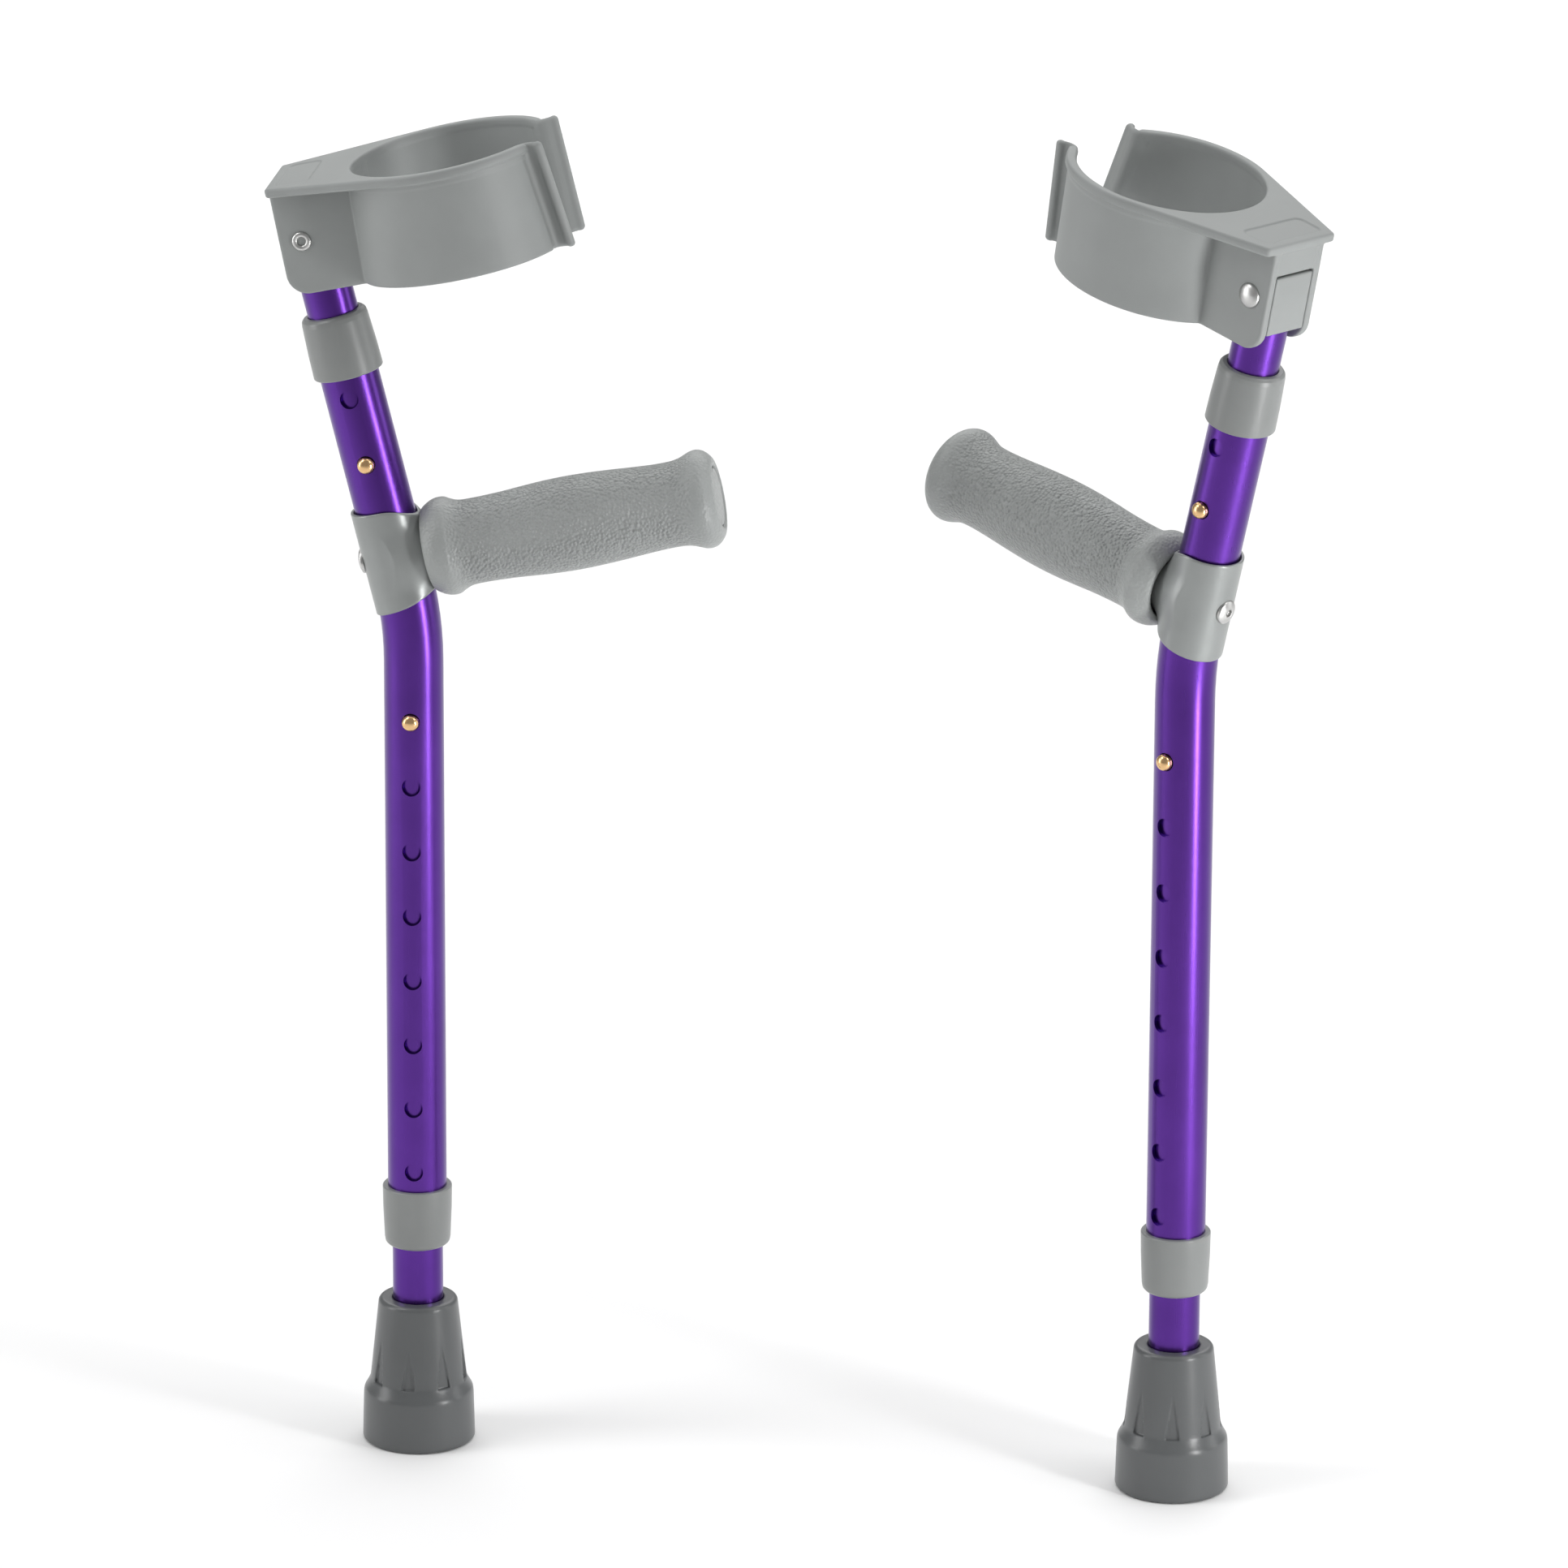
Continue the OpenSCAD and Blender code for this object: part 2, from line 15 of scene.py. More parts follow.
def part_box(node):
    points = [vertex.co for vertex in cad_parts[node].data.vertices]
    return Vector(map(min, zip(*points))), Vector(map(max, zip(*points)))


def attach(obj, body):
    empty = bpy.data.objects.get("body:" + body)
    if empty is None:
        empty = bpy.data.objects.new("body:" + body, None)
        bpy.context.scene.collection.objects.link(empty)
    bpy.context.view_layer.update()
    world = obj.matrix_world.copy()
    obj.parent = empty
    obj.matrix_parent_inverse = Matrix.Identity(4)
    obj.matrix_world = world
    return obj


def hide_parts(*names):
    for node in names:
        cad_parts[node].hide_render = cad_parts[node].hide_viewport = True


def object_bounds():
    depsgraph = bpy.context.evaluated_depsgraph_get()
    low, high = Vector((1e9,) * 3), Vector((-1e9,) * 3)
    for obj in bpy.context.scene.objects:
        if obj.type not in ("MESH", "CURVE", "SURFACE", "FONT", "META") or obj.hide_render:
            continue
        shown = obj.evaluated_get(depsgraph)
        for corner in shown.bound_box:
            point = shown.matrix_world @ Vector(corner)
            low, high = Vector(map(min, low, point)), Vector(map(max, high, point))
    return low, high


MM = 0.001
SIDES = ("left", "right")
GROUPS = ("leg", "forearm")
UP = (0, 0, 1)
HOLD_FROM_TUBE = 68  # hand hold mount, from the upper tube's axis along the handle
CUFF_NOD = 1.4  # degrees that the cuff leans forwards on its rivet at rest
COLLAR_L = 23.4

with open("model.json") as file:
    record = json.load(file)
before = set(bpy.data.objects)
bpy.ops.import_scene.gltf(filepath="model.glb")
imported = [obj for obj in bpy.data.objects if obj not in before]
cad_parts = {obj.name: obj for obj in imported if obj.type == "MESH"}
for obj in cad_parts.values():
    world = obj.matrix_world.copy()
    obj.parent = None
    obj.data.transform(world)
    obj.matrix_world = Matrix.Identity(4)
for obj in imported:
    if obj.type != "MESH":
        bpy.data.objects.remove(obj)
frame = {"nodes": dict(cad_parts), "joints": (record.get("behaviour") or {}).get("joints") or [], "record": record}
cad_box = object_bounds()
record = frame["record"]
joints = {j["name"]: j for j in frame["joints"]}
mounts = {m["name"]: m for m in record["mounts"]}


# ---- local frames, from the record's joints and mounts ----


def axes_at(origin, y_axis, z_axis):
    """Rigid matrix with these Y and Z axes."""
    z = Vector(z_axis).normalized()
    y = Vector(y_axis).normalized()
    x = y.cross(z).normalized()
    y = z.cross(x)
    rotation = Matrix((x, y, z)).transposed().to_4x4()
    return Matrix.Translation(Vector(origin)) @ rotation


def side_axis(side):
    """Direction across the crutch, the way its first leg button is pressed."""
    return joints[f"{side}_leg_button_1_press"]["axis"]


def upper_axis(side):
    """Direction up the upper tube."""
    return joints[f"{side}_forearm_slide"]["axis"]


def leg_frame(side):
    """Origin at the sole's centre, Z up the leg, X the way the handle points."""
    return axes_at(mounts[f"{side}_tip_sole"]["pos_m"], side_axis(side), UP)


def rivet_frame(side):
    """Origin at the cuff's rivet, Z up the forearm tube, X forwards."""
    tilt = joints[f"{side}_cuff_tilt"]
    return axes_at(tilt["pos_m"], tilt["axis"], upper_axis(side))


def cuff_frame(side):
    """As the rivet's frame, nodded forwards about the rivet."""
    return rivet_frame(side) @ Matrix.Rotation(math.radians(CUFF_NOD), 4, "Y")


def handle_root(side):
    """Where the handle's axis meets the upper tube's axis."""
    hold = mounts[f"{side}_hand_hold"]
    return Vector(hold["pos_m"]) - Vector(hold["axis"]) * HOLD_FROM_TUBE * MM


def handle_frame(side):
    """Origin where the handle meets the upper tube's axis, Z out along the grip."""
    return axes_at(handle_root(side), side_axis(side), mounts[f"{side}_hand_hold"]["axis"])


def sleeve_frame(side):
    """The same origin, with Z up the upper tube."""
    return axes_at(handle_root(side), side_axis(side), upper_axis(side))


def on_tube_axis(side, group, node):
    """Point on the leg's or the upper tube's axis nearest to the middle of a CAD node."""
    low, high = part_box(node)
    if group == "leg":
        start, along = Vector(mounts[f"{side}_tip_sole"]["pos_m"]), Vector(UP)
    else:
        start, along = handle_root(side), Vector(upper_axis(side))
    return start + along * ((low + high) / 2 - start).dot(along)


def button_frame(side, group, number):
    """Origin on the tube's axis, Z out through the button's crown."""
    press = joints[f"{side}_{group}_button_{number}_press"]
    up = UP if group == "leg" else upper_axis(side)
    origin = on_tube_axis(side, group, f"{side}_{group}_button_{number}")
    return axes_at(origin, up, -Vector(press["axis"]))


def collar_frame(side, group):
    """Origin at the collar's open end, Z towards its closed end."""
    along = -Vector(UP) if group == "leg" else Vector(upper_axis(side))
    middle = on_tube_axis(side, group, f"{side}_{group}_collar")
    return axes_at(middle - along * COLLAR_L / 2 * MM, side_axis(side), along)


# ---- mesh helpers ----


def mesh_from(name, points, faces, sharp=None):
    """Mesh in metres from points in millimetres, smooth except over edges sharper than sharp degrees."""
    mesh = bpy.data.meshes.new(name)
    mesh.from_pydata([tuple(p) for p in np.asarray(points, float) * MM], [], faces)
    mesh.validate()
    mesh.shade_smooth()
    if sharp:
        mesh.set_sharp_from_angle(angle=math.radians(sharp))
    mesh.update()
    return mesh


def revolve(name, profile, turns, sharp=40):
    """Turns (radius, z) points round Z. The profile starts and ends on the axis or at the same point."""
    points, faces, rings = [], [], []
    closed = profile[0] == profile[-1]
    for r, z in profile[:-1] if closed else profile:
        if r < 1e-6:
            rings.append([len(points)])
            points.append((0, 0, z))
        else:
            rings.append(list(range(len(points), len(points) + turns)))
            angles = [2 * math.pi * i / turns for i in range(turns)]
            points += [(r * math.cos(a), r * math.sin(a), z) for a in angles]
    for low, high in zip(rings, rings[1:] + rings[:1] if closed else rings[1:]):
        for i in range(turns):
            j = (i + 1) % turns
            if len(low) == 1:
                faces.append((low[0], high[j], high[i]))
            elif len(high) == 1:
                faces.append((low[i], low[j], high[0]))
            else:
                faces.append((low[i], low[j], high[j], high[i]))
    return mesh_from(name, points, faces, sharp)


def rounded(profile, radius, steps=5):
    """The profile with its inner corners rounded, where radius holds one number per point."""
    out = [profile[0]]
    for k in range(1, len(profile) - 1):
        a, b, c = (np.array(profile[k + i], float) for i in (-1, 0, 1))
        if radius[k] <= 0:
            out.append(tuple(b))
            continue
        u, v = a - b, c - b
        lu, lv = np.linalg.norm(u), np.linalg.norm(v)
        u, v = u / lu, v / lv
        half = math.acos(max(-1, min(1, float(u @ v)))) / 2
        cut = min(radius[k] / math.tan(half), lu * 0.49, lv * 0.49)  # under half of each side
        for i in range(steps + 1):
            t = i / steps
            p = (1 - t) ** 2 * (b + u * cut) + 2 * t * (1 - t) * b + t**2 * (b + v * cut)
            out.append(tuple(p))
    out.append(profile[-1])
    return out


def smooth_curve(points, steps):
    """Catmull-Rom curve through points, with steps points for each stretch."""
    p = [np.array(q, float) for q in points]
    p = [2 * p[0] - p[1]] + p + [2 * p[-1] - p[-2]]
    out = []
    for a, b, c, d in zip(p, p[1:], p[2:], p[3:]):
        for i in range(steps):
            t = i / steps
            q = b + 0.5 * t * (c - a + t * (2 * a - 5 * b + 4 * c - d + t * (3 * (b - c) + d - a)))
            out.append(tuple(q))
    out.append(tuple(p[-2]))
    return out


# ---- distance-field shapes ----

RELAX = 2  # times that a net's points are spread out evenly
FAR = 99.0  # millimetres, beyond any distance in these shapes


def smooth_min(a, b, k):
    """Union of two fields with a fillet about k wide."""
    h = np.clip(0.5 + 0.5 * (b - a) / k, 0, 1)
    return b + (a - b) * h - k * h * (1 - h)


def round_max(a, b, r):
    """Intersection of two fields with the edge between them rounded to radius r."""
    out = np.hypot(np.maximum(a + r, 0), np.maximum(b + r, 0))
    return np.minimum(np.maximum(a, b) + r, 0) + out - r


def net(name, field, low, high, step):
    """Closed mesh of the surface where field(x, y, z) is zero, as a surface net pulled onto the surface."""
    axes = [np.arange(lo, hi + step, step) for lo, hi in zip(low, high)]
    grid = np.meshgrid(*axes, indexing="ij")
    d = field(*grid)
    inside = d < 0
    corners = [(i, j, k) for i in (0, 1) for j in (0, 1) for k in (0, 1)]
    n = [len(a) - 1 for a in axes]

    def shifted(a, c):
        return a[c[0] : c[0] + n[0], c[1] : c[1] + n[1], c[2] : c[2] + n[2]]

    count = sum(shifted(inside, c).astype(int) for c in corners)
    cells = np.argwhere((count > 0) & (count < 8))
    index = -np.ones(n, int)
    index[tuple(cells.T)] = np.arange(len(cells))
    total, weight = np.zeros((len(cells), 3)), np.zeros(len(cells))
    for a in corners:
        for axis in range(3):
            if a[axis]:
                continue
            b = tuple(v + (i == axis) for i, v in enumerate(a))
            da = d[tuple((cells + a).T)]
            db = d[tuple((cells + b).T)]
            cross = (da < 0) != (db < 0)
            t = np.where(cross, da / np.where(cross, da - db, 1), 0)
            p = np.repeat(np.array(a, float)[None], len(cells), 0)
            p[:, axis] += t
            total += np.where(cross[:, None], p, 0)
            weight += cross
    points = np.array(low) + step * (cells + total / weight[:, None])
    quads = []
    for axis in range(3):
        u, v = [(1, 2), (2, 0), (0, 1)][axis]
        first = np.take(inside, range(0, inside.shape[axis] - 1), axis)
        second = np.take(inside, range(1, inside.shape[axis]), axis)
        for flip in (False, True):
            edge = first & ~second if not flip else ~first & second
            e = np.argwhere(edge)
            e = e[(e[:, u] > 0) & (e[:, v] > 0) & (e[:, u] < n[u]) & (e[:, v] < n[v])]
            ring = []
            for du, dv in ((-1, -1), (0, -1), (0, 0), (-1, 0)):
                c = e.copy()
                c[:, u] += du
                c[:, v] += dv
                ring.append(index[tuple(c.T)])
            quad = np.stack(ring[::-1] if flip else ring, 1)
            quads.append(quad[(quad >= 0).all(1)])
    quads = np.concatenate(quads)
    points = settled(field, points, step)
    for _ in range(RELAX):
        points = settled(field, spread(points, quads), step)
    return mesh_from(name, points, quads.tolist())


def settled(field, p, step):
    """Points pulled onto the surface in three goes."""
    for _ in range(3):
        p = pulled(field, p, step)
    return p


def pulled(field, p, step):
    """Points moved down the field's gradient onto its zero."""
    h = step * 0.05
    d = field(*p.T)
    g = np.stack(
        [(field(*(p + h * e).T) - field(*(p - h * e).T)) / (2 * h) for e in np.eye(3)], 1
    )
    move = -d[:, None] * g / np.maximum((g * g).sum(1), 0.2)[:, None]
    return p + np.clip(move, -step / 2, step / 2)


def spread(p, quads):
    """Points moved half way to the middle of their neighbours."""
    total, count = np.zeros_like(p), np.zeros(len(p))
    for i in range(4):
        for j in (1, 3):
            np.add.at(total, quads[:, i], p[quads[:, (i + j) % 4]])
            np.add.at(count, quads[:, i], 1)
    return (p + total / np.maximum(count, 1)[:, None]) / 2


# ---- materials ----

FINE_RELIEF = 0.00002  # metres, on bare and anodised metal
SOFT_RELIEF = 0.00003  # metres, on plastic, rubber and paint
GRAIN_DEPTH = 0.0009  # metres, the grip's leather grain
GRAIN_AT_FLANGE = 0.25  # share of the grain's depth that is left beside a flange
GRAIN_NEAR = (0.022, 0.03)  # metres along the grip, where the grain grows to its full depth
GRAIN_FAR = (0.116, 0.108)  # the same from the free end


def new_material(name):
    """A material with its nodes, links and main shader."""
    material = bpy.data.materials.new(name)
    material.use_nodes = True
    nodes = material.node_tree.nodes
    return material, nodes, material.node_tree.links, nodes["Principled BSDF"]


def noise(nodes, links, scale, detail, stretch=None):
    """Noise over object coordinates, scale in features per metre."""
    coord = nodes.new("ShaderNodeTexCoord")
    texture = nodes.new("ShaderNodeTexNoise")
    texture.inputs["Scale"].default_value = scale
    texture.inputs["Detail"].default_value = detail
    source = coord.outputs["Object"]
    if stretch:
        mapping = nodes.new("ShaderNodeMapping")
        mapping.inputs["Scale"].default_value = stretch
        links.new(source, mapping.inputs["Vector"])
        source = mapping.outputs["Vector"]
    links.new(source, texture.inputs["Vector"])
    return texture.outputs["Fac"]


def ramp(nodes, links, source, low, high):
    """Colour from low to high over the middle of a noise's range."""
    node = nodes.new("ShaderNodeValToRGB")
    node.color_ramp.elements[0].position = 0.3
    node.color_ramp.elements[1].position = 0.7
    node.color_ramp.elements[0].color = (*low, 1)
    node.color_ramp.elements[1].color = (*high, 1)
    links.new(source, node.inputs["Fac"])
    return node.outputs["Color"]


def value_range(nodes, links, source, low, high):
    """Value from low to high as source goes from 0 to 1."""
    node = nodes.new("ShaderNodeMapRange")
    node.inputs["To Min"].default_value = low
    node.inputs["To Max"].default_value = high
    links.new(source, node.inputs["Value"])
    return node.outputs["Result"]


def bump(nodes, links, height, distance, strength):
    """Normal bent by height, with distance in metres."""
    node = nodes.new("ShaderNodeBump")
    node.inputs["Distance"].default_value = distance
    node.inputs["Strength"].default_value = strength
    links.new(height, node.inputs["Height"])
    return node.outputs["Normal"]


def set_colour(nodes, links, shader, source, base, low=0.95, high=1.05):
    """Base colour that goes from low to high times base with source."""
    darker, lighter = (tuple(c * k for c in base) for k in (low, high))
    links.new(ramp(nodes, links, source, darker, lighter), shader.inputs["Base Color"])


def set_roughness(nodes, links, shader, source, low, high):
    """Roughness that goes from low to high with source."""
    links.new(value_range(nodes, links, source, low, high), shader.inputs["Roughness"])


def set_relief(nodes, links, shader, height, depth, strength):
    """Bump whose height comes from a node, depth in metres."""
    links.new(bump(nodes, links, height, depth, strength), shader.inputs["Normal"])


def anodised_purple():
    """Bright dyed anodising over drawn tube: fine lines along the tube and a faint cloudiness."""
    material, nodes, links, shader = new_material("anodised_purple")
    cloud = noise(nodes, links, 45, 3)
    set_colour(nodes, links, shader, cloud, (0.094, 0.027, 0.252), 0.93, 1.07)
    lines = noise(nodes, links, 900, 3, (1, 1, 0.03))
    set_roughness(nodes, links, shader, lines, 0.24, 0.34)
    shader.inputs["Metallic"].default_value = 1.0
    shader.inputs["Coat Weight"].default_value = 0.15
    shader.inputs["Coat Roughness"].default_value = 0.2
    set_relief(nodes, links, shader, lines, FINE_RELIEF, 0.5)
    return material


def moulded(name, base, roughness):
    """Moulded plastic or rubber: slight colour drift, fine surface texture, uneven sheen."""
    material, nodes, links, shader = new_material(name)
    drift = noise(nodes, links, 35, 3)
    set_colour(nodes, links, shader, drift, base)
    fine = noise(nodes, links, 1400, 2)
    set_roughness(nodes, links, shader, drift, roughness - 0.04, roughness + 0.05)
    set_relief(nodes, links, shader, fine, SOFT_RELIEF, 0.6)
    return material


def fade_near(nodes, links, along, start, end):
    """Share of the grain kept, from GRAIN_AT_FLANGE at start to all of it at end."""
    fade = nodes.new("ShaderNodeMapRange")
    fade.inputs["From Min"].default_value = start
    fade.inputs["From Max"].default_value = end
    fade.inputs["To Min"].default_value = GRAIN_AT_FLANGE
    links.new(along, fade.inputs["Value"])
    return fade.outputs["Result"]


def maths(nodes, links, operation, first, second):
    """Result of a maths node on two sources."""
    node = nodes.new("ShaderNodeMath")
    node.operation = operation
    links.new(first, node.inputs[0])
    links.new(second, node.inputs[1])
    return node.outputs[0]


def grip_vinyl():
    """Soft grip with a leather grain of small raised cells that fades towards the two flanges."""
    material, nodes, links, shader = new_material("grip_vinyl")
    drift = noise(nodes, links, 40, 3)
    set_colour(nodes, links, shader, drift, (0.302, 0.316, 0.311))
    coord = nodes.new("ShaderNodeTexCoord")
    cells = nodes.new("ShaderNodeTexVoronoi")
    cells.feature = "SMOOTH_F1"
    cells.inputs["Scale"].default_value = 850
    cells.inputs["Smoothness"].default_value = 0.35
    links.new(coord.outputs["Object"], cells.inputs["Vector"])
    height = value_range(nodes, links, cells.outputs["Distance"], 1.0, 0.0)
    split = nodes.new("ShaderNodeSeparateXYZ")
    links.new(coord.outputs["Object"], split.inputs["Vector"])
    near = fade_near(nodes, links, split.outputs["Z"], *GRAIN_NEAR)
    far = fade_near(nodes, links, split.outputs["Z"], *GRAIN_FAR)
    share = maths(nodes, links, "MINIMUM", near, far)
    grain = maths(nodes, links, "MULTIPLY", height, share)
    set_relief(nodes, links, shader, grain, GRAIN_DEPTH, 1.0)
    set_roughness(nodes, links, shader, cells.outputs["Distance"], 0.26, 0.5)
    return material


def metal(name, base, low, high):
    """Bare or plated metal with fine wear in its polish, low and high its roughness."""
    material, nodes, links, shader = new_material(name)
    wear = noise(nodes, links, 500, 4)
    set_colour(nodes, links, shader, wear, base, 0.9, 1.05)
    set_roughness(nodes, links, shader, wear, low, high)
    shader.inputs["Metallic"].default_value = 1.0
    set_relief(nodes, links, shader, wear, FINE_RELIEF, 0.5)
    return material


def bracket_paint():
    """Grey paint over metal, a little glossier than the plastic, with fine orange peel."""
    material, nodes, links, shader = new_material("bracket_paint")
    drift = noise(nodes, links, 60, 3)
    set_colour(nodes, links, shader, drift, (0.27, 0.283, 0.279))
    set_roughness(nodes, links, shader, drift, 0.27, 0.36)
    shader.inputs["Metallic"].default_value = 0.35
    peel = noise(nodes, links, 500, 2)
    set_relief(nodes, links, shader, peel, SOFT_RELIEF, 0.5)
    return material


def floor_white():
    """Plain pale floor with the faintest unevenness."""
    material, nodes, links, shader = new_material("floor_white")
    drift = noise(nodes, links, 2, 2)
    colour = ramp(nodes, links, drift, (0.90, 0.90, 0.90), (0.92, 0.92, 0.92))
    links.new(colour, shader.inputs["Base Color"])
    shader.inputs["Roughness"].default_value = 0.9
    return material


MATERIALS = {
    "anodised_purple": anodised_purple(),
    "grey_plastic": moulded("grey_plastic", (0.268, 0.281, 0.277), 0.5),
    "collar_plastic": moulded("collar_plastic", (0.213, 0.222, 0.219), 0.34),
    "grip_vinyl": grip_vinyl(),
    "bracket_paint": bracket_paint(),
    "brass": metal("brass", (0.80, 0.52, 0.26), 0.16, 0.32),
    "bright_steel": metal("bright_steel", (0.56, 0.56, 0.55), 0.26, 0.42),
    "spring_steel": metal("spring_steel", (0.42, 0.42, 0.44), 0.25, 0.4),
    "tip_rubber": moulded("tip_rubber", (0.093, 0.098, 0.1), 0.3),
    "floor": floor_white(),
}


# ---- cuff ----
# Local frame: the rivet at the origin, X forwards to the mouth, Z up the forearm tube.

RING_X = 57
RING_R = 37.4  # outer radius of the ring's wall at the top
RING_LOW = (38.6, 34.6)  # half axes of the ring's oval at the bottom
RING_BACK = 1.5  # the oval's centre lies this far behind the circle's
WALL = 2.4
WALL_BURIED = 1.5  # walls run up into the flange to this far below its top
TOP, BOTTOM = 22.4, -20.0
LEDGE = 0.25  # step in the ring's outer face just under the flange
LEDGE_Z = 16.6
FLANGE_R = 38.8
FLANGE_T = 3.5
REAR = -8.5
REAR_HALF = 17.8
POCKET_X, POCKET_HALF, POCKET_DEPTH = 1.7, (6.4, 15.5), 0.45  # recess in the flange behind the ring
MOUTH_TOP, MOUTH_LOW = 17.0, 9.5  # half the mouth's width
WALL_END = 3.2  # the ring's wall ends this far outside the mouth, where the lip takes over
LIP_TIP_TOP, LIP_TIP_LOW = 96.9, 99.5
LIP_START = 3.4  # the lip's root, this far outside the mouth in the ring's wall
LIP_BEND = (1.6, 2.6)  # control point of its curve: ahead of the ring's inner face, inside the mouth
LIP_END = 1.9  # centre of its bead, this far outside the mouth
LIP_STEPS = 7
LIP_BEAD = 1.7  # radius
LIP_PLATE = 1.1  # half its thickness
CHEEK_IN, CHEEK_OUT = 9.9, 13.3
CHEEK_REAR = 0.4  # the cheeks' rear edge at the top, in front of the flange's
CHEEK_SLOPE = 0.8  # and how far it runs back on its way down
CHEEK_REACH = 25  # the cheeks run forward to here, inside the ring's wall
REAR_WALL_LOW = 9.6
REAR_WALL_T = 2.7


def ring_field(x, y, z):
    """Distance outside the ring's outer face, a circle at the top that turns into an oval lower down."""
    k = np.clip((z - BOTTOM) / (TOP - FLANGE_T - BOTTOM), 0, 1)
    centre = RING_X - RING_BACK * (1 - k)
    ledge = LEDGE * np.clip((z - LEDGE_Z) / 0.5, 0, 1)
    a = RING_LOW[0] + (RING_R - RING_LOW[0]) * k + ledge
    b = RING_LOW[1] + (RING_R - RING_LOW[1]) * k + ledge
    u, v = (x - centre) / a, y / b
    q = np.maximum(np.hypot(u, v), 1e-6)
    slope = np.maximum(np.hypot(u / a, v / b), 1e-9) / q
    return (q - 1) / slope, centre, a, b, ledge


def lip_field(x, y, z, centre, a, b, half):
    """Lip that curls in from the ring's end, then out again to a rounded bead along its free edge."""
    rise = (z - BOTTOM) / (TOP - BOTTOM)
    middle = WALL / 2
    start_y = half + LIP_START
    start_x = centre + (a - middle) * np.sqrt(np.maximum(1 - (start_y / (b - middle)) ** 2, 0))
    bend_x = centre + (a - WALL) * np.sqrt(np.maximum(1 - (half / (b - WALL)) ** 2, 0)) + LIP_BEND[0]
    bend_y = half - LIP_BEND[1]
    tip_x = LIP_TIP_LOW + (LIP_TIP_TOP - LIP_TIP_LOW) * rise - LIP_BEAD
    tip_y = half + LIP_END
    last_x, last_y = start_x, start_y
    plate = np.full_like(x, FAR)
    for i in range(1, LIP_STEPS + 1):
        t = i / LIP_STEPS
        this_x = (1 - t) ** 2 * start_x + 2 * t * (1 - t) * bend_x + t * t * tip_x
        this_y = (1 - t) ** 2 * start_y + 2 * t * (1 - t) * bend_y + t * t * tip_y
        dx, dy = this_x - last_x, this_y - last_y
        u = np.clip(((x - last_x) * dx + (y - last_y) * dy) / (dx * dx + dy * dy), 0, 1)
        plate = np.minimum(plate, np.hypot(x - last_x - u * dx, y - last_y - u * dy))
        last_x, last_y = this_x, this_y
    bead = np.hypot(x - tip_x, y - tip_y) - LIP_BEAD
    lip = smooth_min(plate - LIP_PLATE, bead, 0.6)
    return round_max(lip, np.abs(z - (TOP + BOTTOM) / 2) - (TOP - BOTTOM) / 2, 1.6)


def flange_field(x, y, z, mouth):
    """Flat collar on top: round in front, with straight sides that narrow to the rear edge."""
    vx = x - RING_X
    reach = math.hypot(RING_X - REAR, REAR_HALF)
    touch = math.pi - math.atan2(REAR_HALF, RING_X - REAR) - math.acos(FLANGE_R / reach)
    side = math.cos(touch) * vx + math.sin(touch) * y - FLANGE_R
    outline = np.where(np.arctan2(y, vx) > touch, side, np.hypot(vx, y) - FLANGE_R)
    outline = round_max(outline, REAR - x, 1.2)
    flange = round_max(outline, np.abs(z - TOP + FLANGE_T / 2) - FLANGE_T / 2, 1.15)
    return round_max(flange, mouth + 0.8, 1.6)


def cheeks_field(x, y, z):
    """Two upright plates that hold the block, joined near the top by a low rear wall."""
    slope = CHEEK_SLOPE / (TOP - FLANGE_T - BOTTOM)
    behind = REAR + CHEEK_REAR - slope * (TOP - FLANGE_T - z) - x
    plate = round_max(behind, BOTTOM - z, 8.0)
    thick = CHEEK_OUT - CHEEK_IN
    plate = round_max(plate, np.abs(y - (CHEEK_IN + CHEEK_OUT) / 2) - thick / 2, 0.8)
    plate = np.maximum(np.maximum(plate, x - CHEEK_REACH), z - TOP + WALL_BURIED)
    front = REAR + 0.7
    rear = np.maximum(np.maximum(front - x, x - front - REAR_WALL_T), y - CHEEK_IN - 1)
    rear = np.maximum(rear, np.maximum(REAR_WALL_LOW - z, z - TOP + WALL_BURIED))
    return smooth_min(plate, rear, 0.5)


def cuff_field(x, y, z):
    """Open ring with a flat flange on top, two cheeks beside the block and two lips at the mouth."""
    y = np.abs(y)
    outer, centre, a, b, ledge = ring_field(x, y, z)
    inner = outer + WALL + ledge
    rise = (z - BOTTOM) / (TOP - BOTTOM)
    half = MOUTH_LOW + (MOUTH_TOP - MOUTH_LOW) * rise
    mouth = np.where(x > centre, half - y, -FAR)

    wall = round_max(np.maximum(outer, -inner), BOTTOM - z, 0.9)
    wall = np.maximum(np.maximum(wall, mouth + WALL_END), z - TOP + WALL_BURIED)
    band = smooth_min(wall, lip_field(x, y, z, centre, a, b, half), 0.6)
    body = smooth_min(flange_field(x, y, z, mouth), band, 0.4)
    body = smooth_min(body, cheeks_field(x, y, z), 0.5)
    pocket = round_max(np.abs(x - POCKET_X) - POCKET_HALF[0], y - POCKET_HALF[1], 3.0)
    body = np.maximum(body, z - TOP + POCKET_DEPTH * np.clip(-pocket / 0.4, 0, 1))
    return round_max(body, -inner, 1.0)


def cuff_shape():
    return net("cuff", cuff_field, (-11.5, -41, -22), (102, 41, 24.5), 0.56)


# ---- block and rivet ----
# Same local frame, without the cuff's nod. The rivet is turned round its own Z.

BLOCK_HIGH, BLOCK_LOW = 9.0, -13.4
BLOCK_FRONT, BLOCK_REAR = 9, -8.0
BLOCK_HALF = 9.6
RIVET_HEAD_R, RIVET_HEAD_H = 4.7, 2.0
RIVET_R = 2.4


